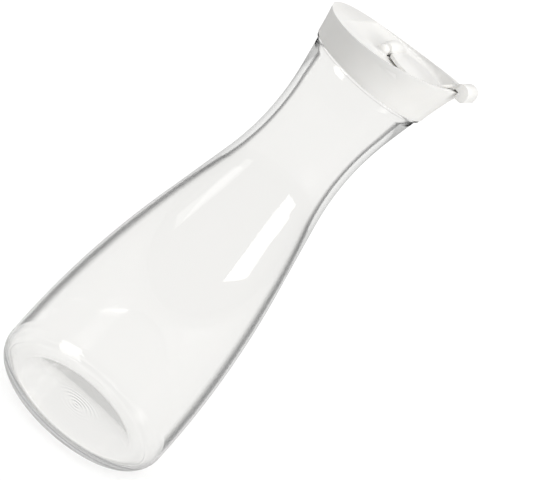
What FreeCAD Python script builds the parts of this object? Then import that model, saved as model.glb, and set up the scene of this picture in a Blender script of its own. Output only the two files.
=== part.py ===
"""Clear plastic carafe with a white snap-on lid, a hinged pouring flap and a soft stopper.

The carafe stands on its foot with the origin at the middle of the foot, +Z up and the
spout towards +X. The flap turns about an axis parallel to Y. All sizes are millimetres.
"""
import FreeCAD, Part
import math
import os
import Sketcher
from FreeCAD import Placement, Rotation, Vector

# Driving dimensions, in millimetres and degrees. Heights are measured from the foot, and a
# rise or a drop from the named place below it.
SIZES = {
    # bottle, outside
    "base_radius": 50.0,
    "heel_radius": 12.0,
    "foot_width": 2.5,
    "punt_height": 2.0,
    "shoulder_run": 41.4,
    "waist_height": 191.2,
    "waist_radius": 25.96,
    "neck_radius": 144.0,
    "flare_rise": 26.9,
    "collar_rise": 45.3,
    "collar_reach": 1.2,
    "collar_height": 1.5,
    "mouth_rise": 11.0,
    "mouth_wall": 1.4,
    # bottle, inside
    "body_wall": 1.0,
    "neck_wall": 3.0,
    "inner_shoulder_run": 9.4,
    "floor_thickness": 4.2,
    # lid
    "fit_gap": 0.3,
    "lid_overhang": 0.55,
    "skirt_radius": 152.0,
    "skirt_angle": 9.6,
    "skirt_wall": 1.85,
    "sleeve_wall": 1.8,
    "sleeve_depth": 8.2,
    "deck_rise": 14.4,
    "deck_thickness": 2.4,
    "blank_rise": 17.0,
    "rim_drop": 0.25,
    "rim_curve_radius": 255.0,
    "rim_wall": 1.0,
    "recess_place": 1.7,
    "recess_draft": 3.0,
    "ramp_margin": 3.3,
    "ramp_radius": 46.0,
    "ramp_angle": 36.5,
    # pouring hole, a lens between two arcs
    "hole_margin": 1.0,
    "hole_width": 12.2,
    "hole_half_length": 14.0,
    # hinge
    "hinge_setback": 4.3,
    "hinge_rise": 2.1,
    "barrel_radius": 4.1,
    "barrel_end_radius": 2.9,
    "barrel_half_length": 9.6,
    "slot_gap": 0.5,
    "trough_wall": 1.4,
    "ear_radius": 3.0,
    "ear_inset": 2.5,
    "ear_rise": 1.4,
    "pin_radius": 1.2,
    "pin_gap": 0.08,
    "pin_length": 1.6,
    # flap
    "flap_gap": 1.1,
    "flap_thickness": 1.7,
    "disc_margin": 4.0,
    "disc_setback": 9.3,
    "disc_cut": 4.5,
    "bend_inset": 1.6,
    "bend_radius": 5.0,
    "tab_gap": 2.35,
    "lip_radius": 4.0,
    "lip_angle": 15.0,
    "tab_half_width": 6.8,
    "neck_fillet": 5.0,
    "hook_half_width": 8.3,
    "hook_dome_radius": 4.5,
    "hook_gap": 0.93,
    "hook_wall": 4.4,
    "hook_drop": 2.65,
    "hook_edge": 1.2,
    "hook_lap": 1.55,
    "hook_roof_gap": 0.75,
    # stopper
    "stopper_depth": 6.3,
    "stopper_gap": 0.4,
    "stopper_draft": 1.0,
    "flange_reach": 0.9,
    "flange_thickness": 0.8,
    "cup_wall": 2.2,
    "cup_depth": 4.0,
}
# Sizes that follow from the driving ones, in the order in which the sheet works them out.
FOLLOWING = {
    "flare_start": "waist_height + flare_rise",
    "flare_turn": "asin( flare_rise / neck_radius )",
    "flare_top": "waist_radius + neck_radius * ( 1 - cos( flare_turn ) )"
                 " + ( collar_rise - collar_height - flare_rise ) * tan( flare_turn )",
    # a straight shoulder of the given run touches the belly's arc and the neck's arc
    "wall_rise": "waist_height - heel_radius",
    "belly_radius": "( ( waist_radius + neck_radius - base_radius ) ^ 2 + wall_rise ^ 2"
                    " - neck_radius ^ 2 - shoulder_run ^ 2 ) / ( 2 * ( base_radius - waist_radius ) )",
    "inner_belly_radius": "belly_radius - body_wall",
    "inner_waist_radius": "waist_radius - neck_wall",
    "inner_neck_radius": "( ( inner_waist_radius - base_radius + belly_radius ) ^ 2 + wall_rise ^ 2"
                         " - inner_belly_radius ^ 2 - inner_shoulder_run ^ 2 )"
                         " / ( 2 * ( base_radius - body_wall - inner_waist_radius ) )",
    "collar_radius": "flare_top + collar_reach",
    "lid_bottom": "waist_height + collar_rise",
    "lid_radius": "collar_radius + lid_overhang",
    "sleeve_outer_radius": "lid_radius - skirt_wall - 2 * fit_gap - mouth_wall",
    "deck_height": "lid_bottom + deck_rise",
    # the skirt's arc and the rim's arc meet at the tip of the spout
    "skirt_across": "lid_radius + skirt_radius * cos( skirt_angle * 1 deg )",
    "skirt_up": "lid_bottom - skirt_radius * sin( skirt_angle * 1 deg )",
    "rim_low_place": "- lid_radius",
    "rim_low_height": "deck_height - rim_drop",
    "rim_up": "rim_low_height + rim_curve_radius",
    "arcs_run": "skirt_across - rim_low_place",
    "arcs_rise": "skirt_up - rim_up",
    "arcs_apart": "sqrt( arcs_run ^ 2 + arcs_rise ^ 2 )",
    "tip_along": "( rim_curve_radius ^ 2 - skirt_radius ^ 2 + arcs_apart ^ 2 ) / ( 2 * arcs_apart )",
    "tip_aside": "sqrt( rim_curve_radius ^ 2 - tip_along ^ 2 )",
    "spout_place": "rim_low_place + ( tip_along * arcs_run + tip_aside * arcs_rise ) / arcs_apart",
    "spout_height": "rim_up + ( tip_along * arcs_rise - tip_aside * arcs_run ) / arcs_apart",
    "deck_radius": "skirt_across - sqrt( skirt_radius ^ 2 - ( deck_height - skirt_up ) ^ 2 )",
    "recess_radius": "deck_radius - rim_wall",
    "hole_outer_radius": "sleeve_outer_radius - sleeve_wall - hole_margin",
    "hole_inner_place": "hole_outer_radius - hole_width",
    "ramp_place": "hole_outer_radius + ramp_margin - ramp_radius",
    "flap_height": "deck_height + flap_gap",
    "disc_radius": "hole_half_length + disc_margin",
    "disc_place": "hole_outer_radius - disc_setback",
    "disc_start": "disc_place - disc_radius + disc_cut",
    "hinge_place": "disc_start - hinge_setback",
    "hinge_height": "deck_height + hinge_rise",
    "ear_offset": "barrel_half_length + slot_gap + ear_inset",
    "ear_height": "deck_height + ear_rise",
    "bend_place": "hole_outer_radius - bend_inset",
    "hook_start": "spout_place - hook_lap",
    "hook_inner_radius": "spout_place + hook_gap",
    "hook_reach": "hook_inner_radius + hook_wall",
    "hook_bottom": "spout_height - hook_drop",
    "hook_room_height": "spout_height + hook_roof_gap",
    # the tab's underside touches the bend and passes over the spout with its gap
    "tab_run": "hook_start - bend_place",
    "tab_rise": "spout_height + tab_gap - flap_height - bend_radius",
    "tab_angle": "( atan( tab_rise / tab_run )"
                 " + asin( bend_radius / sqrt( tab_rise ^ 2 + tab_run ^ 2 ) ) ) / 1 deg",
}
LID_TOP = "deck_height + blank_rise"
NOTHING = "0 * fit_gap"
OVERLAP = 1.0
FULL_TURN = 360.0

doc = FreeCAD.newDocument("carafe")


def make_sheet():
    """Write every size to a cell of its own, under its own name: numbers first, then formulas."""
    cells = doc.addObject("Spreadsheet::Sheet", "sizes")
    contents = {name: str(number) for name, number in SIZES.items()}
    contents.update({name: f"={formula}" for name, formula in FOLLOWING.items()})
    for row, (name, content) in enumerate(contents.items(), start=1):
        cells.set(f"A{row}", name)
        cells.set(f"B{row}", content)
        cells.setAlias(f"B{row}", name)
    doc.recompute()
    return cells


sheet = make_sheet()


def size(name):
    """Read one size back from the sheet."""
    return float(getattr(sheet, name))


def cell(text):
    """Turn a formula that uses bare size names into one that reads the sheet."""
    words = []
    for word in text.split():
        words.append(f"sizes.{word}" if word in SIZES or word in FOLLOWING else word)
    return " ".join(words)


def value(formula):
    """Work out a formula that uses bare size names."""
    return float(sheet.evalExpression(formula))


class Outline:
    """A closed chain of lines and arcs on one of a body's own origin planes."""

    def __init__(self, body, name, role):
        self.sketch = body.newObject("Sketcher::SketchObject", name)
        plane = next(item for item in body.Origin.OriginFeatures if item.Role == role)
        self.sketch.AttachmentSupport = [(plane, "")]
        self.sketch.MapMode = "FlatFace"
        self.links = []

    def line(self, start, end, smooth=False):
        """Add a straight edge; smooth joins it tangentially to the edge before."""
        first = Vector(start[0], start[1], 0)
        last = Vector(end[0], end[1], 0)
        edge = self.sketch.addGeometry(Part.LineSegment(first, last), False)
        self.links.append((edge, 1, 2, smooth))
        return edge

    def arc(self, centre, radius, start_angle, end_angle, smooth=False):
        """Add an arc between two angles in degrees, drawn in the chain's direction."""
        circle = Part.Circle(Vector(centre[0], centre[1], 0), Vector(0, 0, 1), radius)
        low, high = sorted((math.radians(start_angle), math.radians(end_angle)))
        edge = self.sketch.addGeometry(Part.ArcOfCircle(circle, low, high), False)
        ends = (1, 2) if end_angle > start_angle else (2, 1)
        self.links.append((edge, ends[0], ends[1], smooth))
        return edge

    def close(self):
        """Join each edge to the next one, and the last one to the first."""
        count = len(self.links)
        for place in range(count):
            before, _, before_end, _ = self.links[place - 1]
            edge, start, _, smooth = self.links[place]
            kind = "Tangent" if smooth else "Coincident"
            self.sketch.addConstraint(Sketcher.Constraint(kind, before, before_end, edge, start))

    def bind(self, kind, formula, *where):
        """Add a dimension whose value follows a formula of the sheet's cells."""
        dimension = Sketcher.Constraint(kind, *where, value(formula))
        number = self.sketch.addConstraint(dimension)
        self.sketch.setExpression(f"Constraints[{number}]", cell(formula))

    def place(self, edge, point, across, up):
        """Hold a point at two formulas, measured from the sketch's origin."""
        self.bind("DistanceX", across, edge, point)
        self.bind("DistanceY", up, edge, point)

    def tilt(self, edge, name):
        """Hold an edge at an angle above level, given by the name of a size in degrees."""
        turn_by = math.radians(size(name))
        number = self.sketch.addConstraint(Sketcher.Constraint("Angle", edge, turn_by))
        self.sketch.setExpression(f"Constraints[{number}]", cell(f"{name} * 1 deg"))

    def level(self, *edges):
        """Keep edges level."""
        for edge in edges:
            self.sketch.addConstraint(Sketcher.Constraint("Horizontal", edge))

    def upright(self, *edges):
        """Keep edges upright."""
        for edge in edges:
            self.sketch.addConstraint(Sketcher.Constraint("Vertical", edge))

    def on_axis(self, edge, point, axis=-2):
        """Keep a point on the upright axis, or on the level one."""
        self.sketch.addConstraint(Sketcher.Constraint("PointOnObject", edge, point, axis))


def new_body(label):
    """Start a body whose features follow one another."""
    return doc.addObject("PartDesign::Body", label)


def turn(body, kind, outline, name):
    """Revolve an outline a full turn about its own upright axis."""
    feature = body.newObject(f"PartDesign::{kind}", name)
    feature.Profile = outline.sketch
    feature.ReferenceAxis = (outline.sketch, ["V_Axis"])
    feature.Angle = FULL_TURN
    return feature


def extrude(body, kind, outline, name, length, symmetric=False):
    """Pad or pocket an outline over a length given by a formula."""
    feature = body.newObject(f"PartDesign::{kind}", name)
    feature.Profile = outline.sketch
    feature.SideType = "Symmetric" if symmetric else "One side"
    feature.setExpression("Length", cell(length))
    return feature


def move(item, **formulas):
    """Bind an object's position to formulas of the sheet."""
    for axis, formula in formulas.items():
        item.setExpression(f"Placement.Base.{axis}", cell(formula))


def primitive(kind, name, **formulas):
    """Make a Part primitive whose sizes are bound to formulas of the sheet."""
    item = doc.addObject(f"Part::{kind}", name)
    for field, formula in formulas.items():
        item.setExpression(field, cell(formula))
    return item


def combine(kind, name, base, tool):
    """Cut, fuse or intersect two objects."""
    result = doc.addObject(f"Part::{kind}", name)
    result.Base = base
    result.Tool = tool
    return result


def carafe_wall(foot, belly, waist, neck):
    """Work out the line that leads from the belly's arc to the neck's arc.

    foot and waist are (radius, height) pairs, and the slope is in degrees.
    """
    belly_centre = (foot[0] - belly, foot[1])
    neck_centre = (waist[0] + neck, waist[1])
    run = neck_centre[0] - belly_centre[0]
    rise = neck_centre[1] - belly_centre[1]
    slope = math.atan2(rise, run) - math.acos((belly + neck) / math.hypot(run, rise))
    across, up = math.cos(slope), math.sin(slope)
    lower = (belly_centre[0] + belly * across, belly_centre[1] + belly * up)
    upper = (neck_centre[0] - neck * across, neck_centre[1] - neck * up)
    return belly_centre, neck_centre, lower, upper, math.degrees(slope)


def bottle_outside(body):
    """Draw the bottle's outer outline, from the punt to the mouth and back down the axis."""
    heel = size("heel_radius")
    foot_outer = size("base_radius") - heel
    foot_inner = foot_outer - size("foot_width")
    punt = size("punt_height")
    dome = (foot_inner ** 2 + punt ** 2) / (2 * punt)
    belly, neck = size("belly_radius"), size("neck_radius")
    waist = (size("waist_radius"), size("waist_height"))
    wall = carafe_wall((size("base_radius"), heel), belly, waist, neck)
    belly_centre, neck_centre, lower, upper, slope = wall
    flare = math.degrees(math.asin((size("flare_start") - waist[1]) / neck))
    flare_foot = (neck_centre[0] - neck * math.cos(math.radians(flare)), size("flare_start"))
    collar_top = size("lid_bottom")
    collar_foot = collar_top - size("collar_height")
    flare_rise = (collar_foot - flare_foot[1]) * math.tan(math.radians(flare))
    flare_top = (flare_foot[0] + flare_rise, collar_foot)
    collar = size("collar_radius")
    mouth = size("sleeve_outer_radius") + size("fit_gap") + size("mouth_wall")
    mouth_top = collar_top + size("mouth_rise")

    line = Outline(body, "bottle_outline", "XZ_Plane")
    punt_angle = math.degrees(math.acos(foot_inner / dome))
    punt_arc = line.arc((0, punt - dome), dome, 90, punt_angle)
    foot = line.line((foot_inner, 0), (foot_outer, 0))
    heel_arc = line.arc((foot_outer, heel), heel, -90, 0, smooth=True)
    belly_arc = line.arc(belly_centre, belly, 0, slope, smooth=True)
    line.line(lower, upper, smooth=True)
    neck_arc = line.arc(neck_centre, neck, 180 + slope, 180 - flare, smooth=True)
    flare_line = line.line(flare_foot, flare_top, smooth=True)
    under_collar = line.line(flare_top, (collar, collar_foot))
    collar_side = line.line((collar, collar_foot), (collar, collar_top))
    step = line.line((collar, collar_top), (mouth, collar_top))
    mouth_side = line.line((mouth, collar_top), (mouth, mouth_top))
    top = line.line((mouth, mouth_top), (0, mouth_top))
    axis = line.line((0, mouth_top), (0, punt))
    line.close()
    line.level(foot, under_collar, step, top)
    line.upright(collar_side, mouth_side, axis)
    line.on_axis(punt_arc, 3)
    line.on_axis(axis, 2)
    line.bind("DistanceY", "punt_height", axis, 2)
    line.on_axis(foot, 1, axis=-1)
    line.bind("DistanceX", "foot_width", foot, 1, foot, 2)
    line.bind("Radius", "heel_radius", heel_arc)
    line.place(heel_arc, 2, "base_radius", "heel_radius")
    line.bind("Radius", "belly_radius", belly_arc)
    line.bind("Radius", "neck_radius", neck_arc)
    line.place(neck_arc, 3, "waist_radius + neck_radius", "waist_height")
    line.bind("DistanceY", "flare_start", flare_line, 1)
    line.place(collar_side, 2, "collar_radius", "lid_bottom")
    line.bind("DistanceY", "lid_bottom - collar_height", collar_side, 1)
    line.place(mouth_side, 2, "sleeve_outer_radius + fit_gap + mouth_wall", "lid_bottom + mouth_rise")
    return line


def bottle_inside(body):
    """Draw the hollow of the bottle: thin at the belly, thicker towards the neck."""
    heel = size("heel_radius")
    floor = size("floor_thickness")
    inner_heel = heel - floor
    inner_foot = size("base_radius") - size("body_wall")
    belly, neck = size("inner_belly_radius"), size("inner_neck_radius")
    waist = (size("inner_waist_radius"), size("waist_height"))
    wall = carafe_wall((inner_foot, heel), belly, waist, neck)
    belly_centre, neck_centre, lower, upper, slope = wall
    bore = size("sleeve_outer_radius") + size("fit_gap")
    flare = math.degrees(math.acos((neck_centre[0] - bore) / neck))
    bore_foot = neck_centre[1] + neck * math.sin(math.radians(flare))
    top_height = size("lid_bottom") + size("mouth_rise") + OVERLAP

    line = Outline(body, "hollow_outline", "XZ_Plane")
    ground = line.line((0, floor), (inner_foot - inner_heel, floor))
    heel_arc = line.arc((inner_foot - inner_heel, heel), inner_heel, -90, 0, smooth=True)
    belly_arc = line.arc(belly_centre, belly, 0, slope, smooth=True)
    line.line(lower, upper, smooth=True)
    neck_arc = line.arc(neck_centre, neck, 180 + slope, 180 - flare, smooth=True)
    bore_side = line.line((bore, bore_foot), (bore, top_height))
    top = line.line((bore, top_height), (0, top_height))
    axis = line.line((0, top_height), (0, floor))
    line.close()
    line.level(ground, top)
    line.upright(bore_side, axis)
    line.on_axis(axis, 2)
    line.bind("DistanceY", "floor_thickness", axis, 2)
    line.bind("Radius", "heel_radius - floor_thickness", heel_arc)
    line.place(heel_arc, 2, "base_radius - body_wall", "heel_radius")
    line.bind("Radius", "inner_belly_radius", belly_arc)
    line.bind("Radius", "inner_neck_radius", neck_arc)
    line.place(neck_arc, 3, "inner_waist_radius + inner_neck_radius", "waist_height")
    line.bind("DistanceX", "sleeve_outer_radius + fit_gap", bore_side, 2)
    line.bind("DistanceY", f"lid_bottom + mouth_rise + {OVERLAP}", bore_side, 2)
    return line


def make_bottle():
    """Turn the bottle's outside, then hollow it."""
    body = new_body("bottle")
    turn(body, "Revolution", bottle_outside(body), "bottle_solid")
    doc.recompute()
    turn(body, "Groove", bottle_inside(body), "bottle_hollow")
    doc.recompute()
    return body


def lid_outline(body):
    """Draw the lid's section: skirt outside, room for the bottle's mouth, sleeve inside."""
    bottom = size("lid_bottom")
    radius, arc_radius = size("lid_radius"), size("skirt_radius")
    angle = math.radians(size("skirt_angle"))
    centre = (radius + arc_radius * math.cos(angle), bottom - arc_radius * math.sin(angle))
    top = value(LID_TOP)
    end_angle = math.asin((top - centre[1]) / arc_radius)
    top_radius = centre[0] - arc_radius * math.cos(end_angle)
    under_deck = size("deck_height") - size("deck_thickness")
    sleeve_outer = size("sleeve_outer_radius")
    sleeve_inner = sleeve_outer - size("sleeve_wall")
    sleeve_foot = under_deck - size("sleeve_depth")
    pocket = sleeve_outer + size("fit_gap") + size("mouth_wall") + size("fit_gap")

    line = Outline(body, "lid_outline", "XZ_Plane")
    ceiling = line.line((0, under_deck), (sleeve_inner, under_deck))
    inside = line.line((sleeve_inner, under_deck), (sleeve_inner, sleeve_foot))
    foot = line.line((sleeve_inner, sleeve_foot), (sleeve_outer, sleeve_foot))
    outside = line.line((sleeve_outer, sleeve_foot), (sleeve_outer, under_deck))
    seat = line.line((sleeve_outer, under_deck), (pocket, under_deck))
    skirt_inside = line.line((pocket, under_deck), (pocket, bottom))
    hem = line.line((pocket, bottom), (radius, bottom))
    skirt = line.arc(centre, arc_radius, 180 - math.degrees(angle), 180 - math.degrees(end_angle))
    cap = line.line((top_radius, top), (0, top))
    axis = line.line((0, top), (0, under_deck))
    line.close()
    line.level(ceiling, foot, seat, hem, cap)
    line.upright(inside, outside, skirt_inside, axis)
    line.on_axis(axis, 2)
    line.bind("DistanceY", "deck_height - deck_thickness", axis, 2)
    line.place(inside, 2, "sleeve_outer_radius - sleeve_wall",
               "deck_height - deck_thickness - sleeve_depth")
    line.bind("DistanceX", "sleeve_outer_radius", outside, 2)
    line.bind("DistanceY", "deck_height - deck_thickness", outside, 2)
    line.bind("DistanceX", "sleeve_outer_radius + fit_gap + mouth_wall + fit_gap", skirt_inside, 1)
    line.place(hem, 2, "lid_radius", "lid_bottom")
    line.bind("Radius", "skirt_radius", skirt)
    line.bind("DistanceX", "lid_radius + skirt_radius * cos( skirt_angle * 1 deg )", skirt, 3)
    line.bind("DistanceY", LID_TOP, cap, 1)
    return line


def rim_outline(body):
    """Draw what lies above the rim, which is low at the back and rises to the spout."""
    radius = size("rim_curve_radius")
    low = (size("rim_low_place"), size("rim_low_height"))
    centre = (low[0], low[1] + radius)
    reach = 2 * size("lid_radius")
    turn_back = math.degrees(math.asin((-reach - low[0]) / radius))
    turn_front = math.degrees(math.asin((reach - low[0]) / radius))
    back_height = centre[1] - radius * math.cos(math.radians(turn_back))
    front_height = centre[1] - radius * math.cos(math.radians(turn_front))
    top = value(LID_TOP) + reach

    line = Outline(body, "rim_outline", "XZ_Plane")
    curve = line.arc(centre, radius, -90 + turn_back, -90 + turn_front)
    front = line.line((reach, front_height), (reach, top))
    cap = line.line((reach, top), (-reach, top))
    back = line.line((-reach, top), (-reach, back_height))
    line.close()
    line.level(cap)
    line.upright(front, back)
    line.bind("Radius", "rim_curve_radius", curve)
    line.place(curve, 3, "rim_low_place", "rim_low_height + rim_curve_radius")
    line.place(cap, 1, "2 * lid_radius", f"{LID_TOP} + 2 * lid_radius")
    line.bind("DistanceX", "-2 * lid_radius", cap, 2)
    return line


def make_recess():
    """Intersect the upright side and the sloping front of the hollow above the deck."""
    height = f"blank_rise + {OVERLAP}"
    side = primitive("Cone", "recess_side", Radius1="recess_radius", Height=height,
                     Radius2=f"recess_radius + ( {height} ) * tan( recess_draft * 1 deg )")
    move(side, x="recess_place", z="deck_height")
    ramp = primitive("Cone", "recess_ramp", Radius1="ramp_radius", Height=height,
                     Radius2=f"ramp_radius + ( {height} ) * tan( ramp_angle * 1 deg )")
    move(ramp, x="ramp_place", z="deck_height")
    return combine("Common", "recess", side, ramp)


def make_barrel(name, grow, lengthen):
    """Turn the hinge's barrel, fuller in the middle than at its ends, about the hinge axis.

    grow and lengthen are formulas: what is added to its radius and to each end.
    """
    body = new_body(name)
    half = f"( barrel_half_length + {lengthen} )"
    swell = "( barrel_radius - barrel_end_radius )"
    crown = f"( {half} ^ 2 + {swell} ^ 2 ) / ( 2 * {swell} )"
    half_length = value(half)
    end_radius = size("barrel_end_radius") + value(grow)
    bulge = size("barrel_radius") - size("barrel_end_radius")
    crown_radius = (half_length ** 2 + bulge ** 2) / (2 * bulge)
    centre = (end_radius + bulge - crown_radius, 0)
    opening = math.degrees(math.asin(half_length / crown_radius))

    line = Outline(body, f"{name}_outline", "XY_Plane")
    lower = line.line((0, -half_length), (end_radius, -half_length))
    arc = line.arc(centre, crown_radius, -opening, opening)
    upper = line.line((end_radius, half_length), (0, half_length))
    axis = line.line((0, half_length), (0, -half_length))
    line.close()
    line.level(lower, upper)
    line.upright(axis)
    line.on_axis(axis, 1)
    line.bind("Radius", crown, arc)
    line.place(upper, 1, f"barrel_end_radius + {grow}", half)
    line.place(lower, 2, f"barrel_end_radius + {grow}", f"- {half}")
    turn(body, "Revolution", line, f"{name}_turned")
    move(body, x="hinge_place", z="hinge_height")
    return body


def along_hinge(item, half_length):
    """Lay a cylinder along the hinge axis, evenly about the middle."""
    item.Placement = Placement(Vector(0, 0, 0), Rotation(Vector(1, 0, 0), -90))
    item.setExpression("Height", cell(f"2 * ( {half_length} )"))
    move(item, x="hinge_place", y=f"- ( {half_length} )", z="hinge_height")


def make_ears():
    """Make the two rounded ears that hold the hinge pins, flat on their inner sides."""
    ears = []
    for side, sign in (("near", "-"), ("far", "")):
        ear = primitive("Sphere", f"ear_{side}", Radius="ear_radius")
        move(ear, x="hinge_place", y=f"{sign} ear_offset", z="ear_height")
        ears.append(ear)
    pair = combine("Fuse", "ear_pair", ears[0], ears[1])
    inner = "( barrel_half_length + slot_gap )"
    slab = primitive("Box", "ear_slab", Length="4 * ear_radius", Width=f"2 * {inner}",
                     Height="4 * ear_radius")
    move(slab, x="hinge_place - 2 * ear_radius", y=f"- {inner}", z="ear_height - 2 * ear_radius")
    return combine("Cut", "ears", pair, slab)


def lens_outline(body, name, outset):
    """Draw the pouring hole's lens, grown outwards by a formula or shrunk by a negative one."""
    grow = value(outset)
    outer, inner_place = size("hole_outer_radius"), size("hole_inner_place")
    half = size("hole_half_length")
    tip = math.sqrt(outer ** 2 - half ** 2)
    sagitta = tip - inner_place
    inner = (half ** 2 + sagitta ** 2) / (2 * sagitta)
    outer_radius, inner_radius = outer + grow, inner + grow
    centre = inner_place + inner
    tip_across = (outer_radius ** 2 - inner_radius ** 2 + centre ** 2) / (2 * centre)
    outer_turn = math.degrees(math.acos(tip_across / outer_radius))
    inner_turn = math.degrees(math.acos((centre - tip_across) / inner_radius))

    line = Outline(body, name, "XY_Plane")
    front = line.arc((0, 0), outer_radius, -outer_turn, outer_turn)
    back = line.arc((centre, 0), inner_radius, 180 - inner_turn, 180 + inner_turn)
    line.close()
    tip_text = "sqrt( hole_outer_radius ^ 2 - hole_half_length ^ 2 )"
    rise = f"( {tip_text} - hole_inner_place )"
    inner_text = f"( hole_half_length ^ 2 + {rise} ^ 2 ) / ( 2 * {rise} )"
    line.place(front, 3, NOTHING, NOTHING)
    line.bind("Radius", f"hole_outer_radius + {outset}", front)
    line.bind("Radius", f"{inner_text} + {outset}", back)
    line.place(back, 3, f"hole_inner_place + {inner_text}", NOTHING)
    return line


def lens_tool(label, outset, length, height):
    """Pad the lens upwards over a length, from a height."""
    body = new_body(label)
    extrude(body, "Pad", lens_outline(body, f"{label}_outline", outset), f"{label}_pad", length)
    move(body, z=height)
    return body


def make_lid():
    """Turn the lid, shape its rim and recess, and add the hinge's seat and the hole."""
    shell = new_body("lid_shell")
    turn(shell, "Revolution", lid_outline(shell), "lid_solid")
    doc.recompute()
    extrude(shell, "Pocket", rim_outline(shell), "rim_cut", "4 * lid_radius", symmetric=True)
    open_shell = combine("Cut", "lid_open", shell, make_recess())

    housing = make_barrel("trough_outside", "slot_gap + trough_wall", "slot_gap + trough_wall")
    below = primitive("Box", "below_deck", Length="2 * lid_radius", Width="2 * lid_radius",
                      Height="deck_thickness + barrel_radius * 2")
    move(below, x="- lid_radius", y="- lid_radius", z="deck_height - deck_thickness - barrel_radius * 2")
    trough = combine("Common", "trough", housing, below)
    with_trough = combine("Fuse", "lid_trough", open_shell, trough)
    with_ears = combine("Fuse", "lid_ears", with_trough, make_ears())

    slot = make_barrel("hinge_slot", "slot_gap", "slot_gap")
    slotted = combine("Cut", "lid_slotted", with_ears, slot)
    bore = primitive("Cylinder", "pin_bore", Radius="pin_radius + pin_gap")
    along_hinge(bore, "barrel_half_length + slot_gap + pin_length")
    bored = combine("Cut", "lid_bored", slotted, bore)

    hole = lens_tool("pour_hole", NOTHING, "deck_thickness * 3",
                     "deck_height - deck_thickness * 2")
    return combine("Cut", "lid", bored, hole)


def flap_side(body):
    """Draw the flap from the side: plate, bend, sloping tab, lip over the rim and hook."""
    under, thick = size("flap_height"), size("flap_thickness")
    start = size("hinge_place")
    bend, bend_radius = size("bend_place"), size("bend_radius")
    slope, lip_slope = size("tab_angle"), size("lip_angle")
    across, up = math.cos(math.radians(slope)), math.sin(math.radians(slope))
    bend_centre = (bend, under + bend_radius)
    bend_end = (bend + bend_radius * up, bend_centre[1] - bend_radius * across)
    inner_bend = bend_radius - thick
    top_bend_end = (bend + inner_bend * up, bend_centre[1] - inner_bend * across)
    # The dome touches the tab's upper side and reaches out to the hook's farthest point.
    dome = size("hook_dome_radius")
    dome_across = size("hook_reach") - dome
    run = (dome_across - dome * up - top_bend_end[0]) / across
    dome_start = (top_bend_end[0] + run * across, top_bend_end[1] + run * up)
    dome_centre = (dome_across, dome_start[1] - dome * across)
    # The lip's underside levels out before it passes over the rim.
    lip_radius, hook_start = size("lip_radius"), size("hook_start")
    lip_across = math.cos(math.radians(lip_slope))
    lip_up = math.sin(math.radians(lip_slope))
    lip_run = (hook_start - OVERLAP - lip_radius * (up - lip_up) - bend_end[0]) / across
    lip_start = (bend_end[0] + lip_run * across, bend_end[1] + lip_run * up)
    lip_centre = (lip_start[0] + lip_radius * up, lip_start[1] - lip_radius * across)
    lip_end = (lip_centre[0] - lip_radius * lip_up, lip_centre[1] + lip_radius * lip_across)
    hook_top = (hook_start, lip_end[1] + (hook_start - lip_end[0]) * lip_up / lip_across)
    bottom, edge = size("hook_bottom"), size("hook_edge")
    reach = size("hook_reach")

    line = Outline(body, "flap_side", "XZ_Plane")
    base = line.line((start, under), (bend, under))
    bend_arc = line.arc(bend_centre, bend_radius, -90, -90 + slope, smooth=True)
    tab_under = line.line(bend_end, lip_start, smooth=True)
    lip_arc = line.arc(lip_centre, lip_radius, 90 + slope, 90 + lip_slope, smooth=True)
    lip = line.line(lip_end, hook_top, smooth=True)
    hook_inside = line.line(hook_top, (hook_start, bottom))
    hook_foot = line.line((hook_start, bottom), (reach - edge, bottom))
    bevel = line.line((reach - edge, bottom), (reach, bottom + edge))
    hook_front = line.line((reach, bottom + edge), (reach, dome_centre[1]))
    dome_arc = line.arc(dome_centre, dome, 0, 90 + slope, smooth=True)
    tab_top = line.line(dome_start, top_bend_end, smooth=True)
    inner_arc = line.arc(bend_centre, inner_bend, -90 + slope, -90, smooth=True)
    roof = line.line((bend, under + thick), (start, under + thick), smooth=True)
    back = line.line((start, under + thick), (start, under))
    line.close()
    line.level(base, hook_foot, roof)
    line.upright(hook_inside, hook_front, back)
    line.place(base, 1, "hinge_place", "flap_height")
    line.bind("DistanceX", "bend_place", bend_arc, 3)
    line.bind("DistanceX", "bend_place", inner_arc, 3)
    line.bind("DistanceY", "flap_height + flap_thickness", roof, 2)
    line.tilt(tab_under, "tab_angle")
    line.sketch.addConstraint(Sketcher.Constraint("Parallel", tab_under, tab_top))
    line.tilt(lip, "lip_angle")
    line.bind("DistanceX", f"hook_start - {OVERLAP}", lip, 1)
    line.bind("Radius", "bend_radius", bend_arc)
    line.bind("Radius", "bend_radius - flap_thickness", inner_arc)
    line.bind("Radius", "lip_radius", lip_arc)
    line.bind("Radius", "hook_dome_radius", dome_arc)
    line.bind("DistanceX", "hook_start", hook_inside, 2)
    line.bind("DistanceY", "hook_bottom", hook_inside, 2)
    line.bind("DistanceX", "hook_reach", hook_front, 1)
    line.bind("DistanceY", "hook_bottom + hook_edge", hook_front, 1)
    line.bind("DistanceX", "hook_reach - hook_edge", bevel, 1)
    return line


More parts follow.
